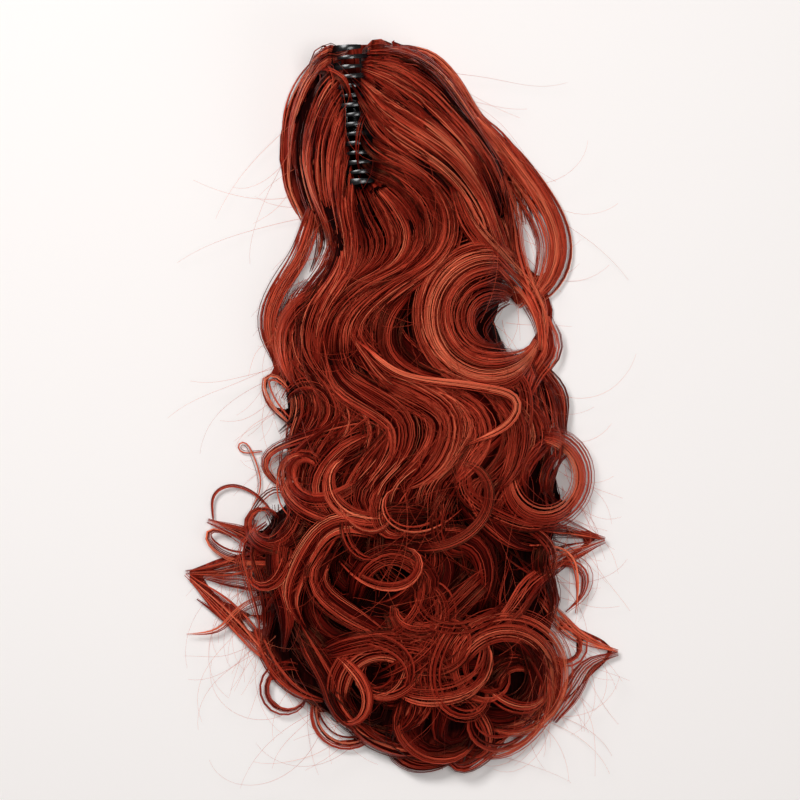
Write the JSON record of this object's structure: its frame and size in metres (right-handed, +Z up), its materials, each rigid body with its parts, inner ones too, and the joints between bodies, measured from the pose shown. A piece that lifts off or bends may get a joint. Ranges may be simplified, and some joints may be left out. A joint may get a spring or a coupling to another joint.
{
  "type": "ponytail hairpiece",
  "caption": "Long curly ponytail hairpiece of copper-auburn synthetic hair, sewn to a sprung claw clip with interleaved teeth.",
  "frame": {"origin": "centre of the box's bottom, on the surface that the hairpiece lies on", "axes": "+Y towards the clip's end, along the hair; +Z up, out of the clip's mouth; +X towards the moving jaw"},
  "size_m": [0.308, 0.5207, 0.0735],
  "materials": {
    "hair": "glossy synthetic fibre, copper auburn",
    "clip": "glossy moulded black",
    "steel": "bright drawn wire",
    "weft": "sewn band, dark brown"
  },
  "bodies": {
    "root": {"hair": "hair", "jaw_left": "clip", "weft_left": "weft", "hinge_pin": "steel", "spring": "steel"},
    "right_jaw": {"jaw_right": "clip", "weft_right": "weft"}
  },
  "joints": [
    {"name": "claw_hinge", "type": "hinge", "parent": "root", "child": "right_jaw", "pos_m": [-0.03214, 0.20488, 0.03098], "axis": [-0.0941, 0.9956, 0], "range_deg": [0, 40], "stiffness_Nm_per_rad": 0.06, "springref_deg": -28.65}
  ]
}
